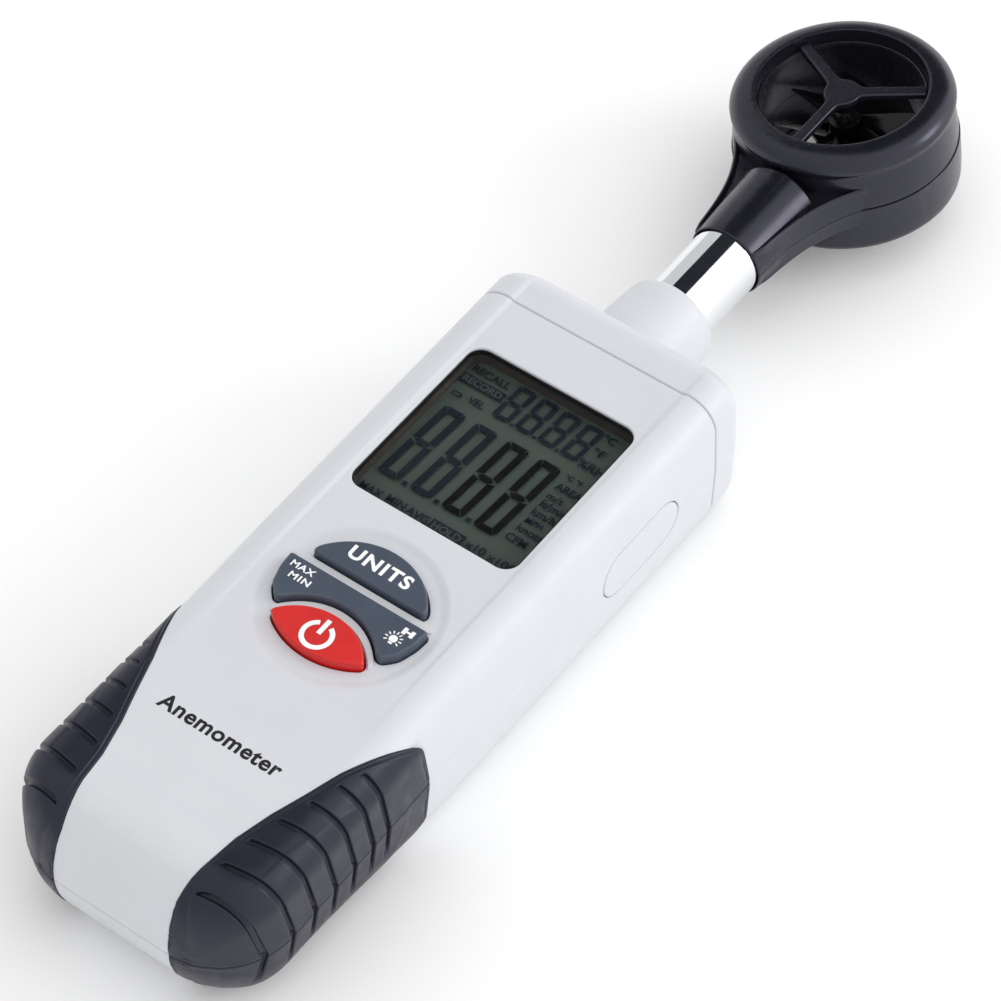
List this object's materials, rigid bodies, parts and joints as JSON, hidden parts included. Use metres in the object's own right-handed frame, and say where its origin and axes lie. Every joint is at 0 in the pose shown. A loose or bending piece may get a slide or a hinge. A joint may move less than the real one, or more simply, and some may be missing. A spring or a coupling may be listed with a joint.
{
  "type": "vane anemometer",
  "caption": "Hand-held vane anemometer: white case with display, shaped keys and rubber grips, and a black ring head with a spinning rotor on a chromed tube",
  "frame": {"origin": "under the middle of the whole instrument, on the surface that the case's back lies on", "axes": "+Z out of the display face, +Y from the handle end towards the vane head, +X to the reader's right"},
  "size_m": [0.049, 0.2232, 0.0298],
  "materials": {
    "shell": "satin off-white moulded plastic",
    "grip": "matte charcoal overmoulded rubber",
    "window": "clear polished acrylic",
    "lcd": "grey-green reflective display glass",
    "light_guide": "white acrylic",
    "silicone": "grey silicone rubber",
    "circuit_board": "green solder mask",
    "black_plastic": "black moulded plastic",
    "battery_jacket": "printed steel jacket",
    "red_lead": "red insulation",
    "cable_jacket": "black rubber",
    "grey_key": "satin slate-grey silicone key",
    "red_key": "satin red silicone key",
    "chrome_tube": "polished chrome plate",
    "brass_parts": "turned brass",
    "head_plastic": "satin black moulded plastic",
    "steel_parts": "plated steel",
    "vane_plastic": "glossy black thin moulding"
  },
  "bodies": {
    "case": {"front_case": "shell", "rear_case": "shell", "end_cap": "shell", "front_grip_right": "grip", "front_grip_left": "grip", "rear_grip_right": "grip", "rear_grip_left": "grip", "side_plug_right": "shell", "side_plug_left": "shell", "display_window": "window", "lcd_glass": "lcd", "backlight_guide": "light_guide", "lcd_connector": "silicone", "main_board": "circuit_board", "controller_chip": "black_plastic", "sensor_header": "light_guide", "keypad_mat": "silicone", "battery": "battery_jacket", "battery_snap": "black_plastic", "positive_lead": "red_lead", "negative_lead": "cable_jacket", "case_screw_1": "steel_parts", "case_screw_2": "steel_parts", "case_screw_3": "steel_parts", "case_screw_4": "steel_parts", "friction_ring": "cable_jacket", "sensor_cable": "cable_jacket"},
    "battery_door": {"battery_door": "shell"},
    "units_key": {"units_key": "grey_key"},
    "mode_key": {"mode_key": "grey_key"},
    "power_key": {"power_key": "red_key"},
    "probe": {"probe_tube": "chrome_tube", "tube_nut": "brass_parts", "head_front_shell": "head_plastic", "head_rear_shell": "head_plastic", "front_guard": "head_plastic", "rear_guard": "head_plastic", "front_bearing": "brass_parts", "rear_bearing": "brass_parts", "head_screw_1": "steel_parts", "head_screw_2": "steel_parts", "pickup_board": "circuit_board", "pickup_sensor": "black_plastic"},
    "rotor": {"vane_rotor": "vane_plastic", "rotor_magnet": "steel_parts", "rotor_shaft": "steel_parts"}
  },
  "joints": [
    {"name": "head_swivel", "type": "hinge", "parent": "case", "child": "probe", "pos_m": [0, 0.03, 0.0155], "axis": [0, 1, 0], "range_deg": [-6.8, 23.2]},
    {"name": "vane_spin", "type": "hinge", "parent": "probe", "child": "rotor", "pos_m": [0, 0.09115, 0.0155], "axis": [-0.1426, 0, 0.9898], "continuous": true},
    {"name": "units_press", "type": "slide", "parent": "case", "child": "units_key", "axis": [0, 0, -1], "range_m": [0, 0.0008], "stiffness_N_per_m": 1200, "springref_m": -0.0004},
    {"name": "power_press", "type": "slide", "parent": "case", "child": "power_key", "axis": [0, 0, -1], "range_m": [0, 0.0008], "stiffness_N_per_m": 1200, "springref_m": -0.0004},
    {"name": "mode_rock", "type": "hinge", "parent": "case", "child": "mode_key", "pos_m": [0, -0.0525, 0.0273], "axis": [0, 1, 0], "range_deg": [-2.5, 2.5], "stiffness_Nm_per_rad": 0.5},
    {"name": "door_slide", "type": "slide", "parent": "case", "child": "battery_door", "axis": [0, -1, 0], "range_m": [0, 0.004]}
  ]
}
